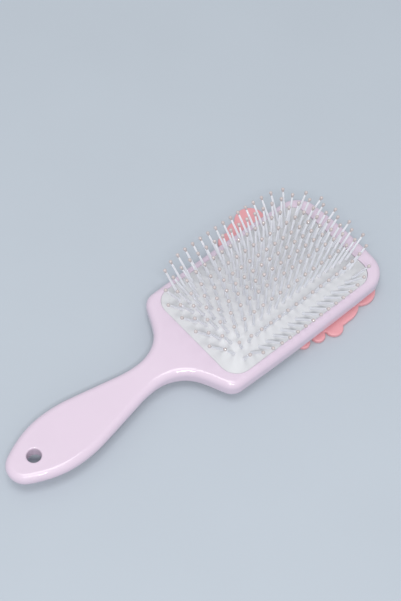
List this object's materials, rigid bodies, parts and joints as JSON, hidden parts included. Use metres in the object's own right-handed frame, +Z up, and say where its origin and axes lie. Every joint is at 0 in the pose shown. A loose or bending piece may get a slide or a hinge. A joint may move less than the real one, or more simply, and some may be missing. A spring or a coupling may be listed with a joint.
{
  "type": "paddle hair brush",
  "caption": "Paddle hair brush: flat handle with a hang hole, air-cushion head with splayed ball-tipped pins that give when pressed, and a lobed plate on the back.",
  "frame": {"origin": "on the underside of the back plate, below the middle of the head's opening, so z = 0 is the surface it rests on", "axes": "+Y from the handle to the far end of the head, +X across the head, +Z up out of the pins"},
  "size_m": [0.1063, 0.2542, 0.0445],
  "materials": {
    "body_plastic": "smooth glossy pale pink moulding",
    "cushion_rubber": "smooth satin pale grey",
    "ring_plastic": "plain moulded, hidden",
    "pin_nylon": "translucent white nylon",
    "tip_coating": "glossy dipped ball",
    "plate_plastic": "satin coral, rounded edges",
    "adhesive_foam": "closed-cell foam, hidden"
  },
  "bodies": {
    "brush": {"handle_body": "body_plastic", "cushion_pad": "cushion_rubber", "cushion_frame": "ring_plastic", "back_plate": "plate_plastic", "plate_adhesive": "adhesive_foam"},
    "row_01": {"pin_row_01": "pin_nylon", "tip_row_01": "tip_coating"},
    "row_02": {"pin_row_02": "pin_nylon", "tip_row_02": "tip_coating"},
    "row_03": {"pin_row_03": "pin_nylon", "tip_row_03": "tip_coating"},
    "row_04": {"pin_row_04": "pin_nylon", "tip_row_04": "tip_coating"},
    "row_05": {"pin_row_05": "pin_nylon", "tip_row_05": "tip_coating"},
    "row_06": {"pin_row_06": "pin_nylon", "tip_row_06": "tip_coating"},
    "row_07": {"pin_row_07": "pin_nylon", "tip_row_07": "tip_coating"},
    "row_08": {"pin_row_08": "pin_nylon", "tip_row_08": "tip_coating"},
    "row_09": {"pin_row_09": "pin_nylon", "tip_row_09": "tip_coating"},
    "row_10": {"pin_row_10": "pin_nylon", "tip_row_10": "tip_coating"},
    "row_11": {"pin_row_11": "pin_nylon", "tip_row_11": "tip_coating"}
  },
  "joints": [
    {"name": "press_row_01", "type": "slide", "parent": "brush", "child": "row_01", "axis": [0, 0, -1], "range_m": [0, 0.00154], "stiffness_N_per_m": 60},
    {"name": "press_row_02", "type": "slide", "parent": "brush", "child": "row_02", "axis": [0, 0, -1], "range_m": [0, 0.0026], "stiffness_N_per_m": 60},
    {"name": "press_row_03", "type": "slide", "parent": "brush", "child": "row_03", "axis": [0, 0, -1], "range_m": [0, 0.00333], "stiffness_N_per_m": 60},
    {"name": "press_row_04", "type": "slide", "parent": "brush", "child": "row_04", "axis": [0, 0, -1], "range_m": [0, 0.00377], "stiffness_N_per_m": 60},
    {"name": "press_row_05", "type": "slide", "parent": "brush", "child": "row_05", "axis": [0, 0, -1], "range_m": [0, 0.00398], "stiffness_N_per_m": 60},
    {"name": "press_row_06", "type": "slide", "parent": "brush", "child": "row_06", "axis": [0, 0, -1], "range_m": [0, 0.004], "stiffness_N_per_m": 60, "deforming": ["cushion_pad"]},
    {"name": "press_row_07", "type": "slide", "parent": "brush", "child": "row_07", "axis": [0, 0, -1], "range_m": [0, 0.00398], "stiffness_N_per_m": 60},
    {"name": "press_row_08", "type": "slide", "parent": "brush", "child": "row_08", "axis": [0, 0, -1], "range_m": [0, 0.00377], "stiffness_N_per_m": 60},
    {"name": "press_row_09", "type": "slide", "parent": "brush", "child": "row_09", "axis": [0, 0, -1], "range_m": [0, 0.00333], "stiffness_N_per_m": 60},
    {"name": "press_row_10", "type": "slide", "parent": "brush", "child": "row_10", "axis": [0, 0, -1], "range_m": [0, 0.0026], "stiffness_N_per_m": 60},
    {"name": "press_row_11", "type": "slide", "parent": "brush", "child": "row_11", "axis": [0, 0, -1], "range_m": [0, 0.00154], "stiffness_N_per_m": 60}
  ],
  "couplings": [
    {"joint": "press_row_01", "follows": "press_row_06", "ratio": 0.3792},
    {"joint": "press_row_02", "follows": "press_row_06", "ratio": 0.6446},
    {"joint": "press_row_03", "follows": "press_row_06", "ratio": 0.8269},
    {"joint": "press_row_04", "follows": "press_row_06", "ratio": 0.9372},
    {"joint": "press_row_05", "follows": "press_row_06", "ratio": 0.9889},
    {"joint": "press_row_07", "follows": "press_row_06", "ratio": 0.9889},
    {"joint": "press_row_08", "follows": "press_row_06", "ratio": 0.9372},
    {"joint": "press_row_09", "follows": "press_row_06", "ratio": 0.8269},
    {"joint": "press_row_10", "follows": "press_row_06", "ratio": 0.6446},
    {"joint": "press_row_11", "follows": "press_row_06", "ratio": 0.3792}
  ]
}
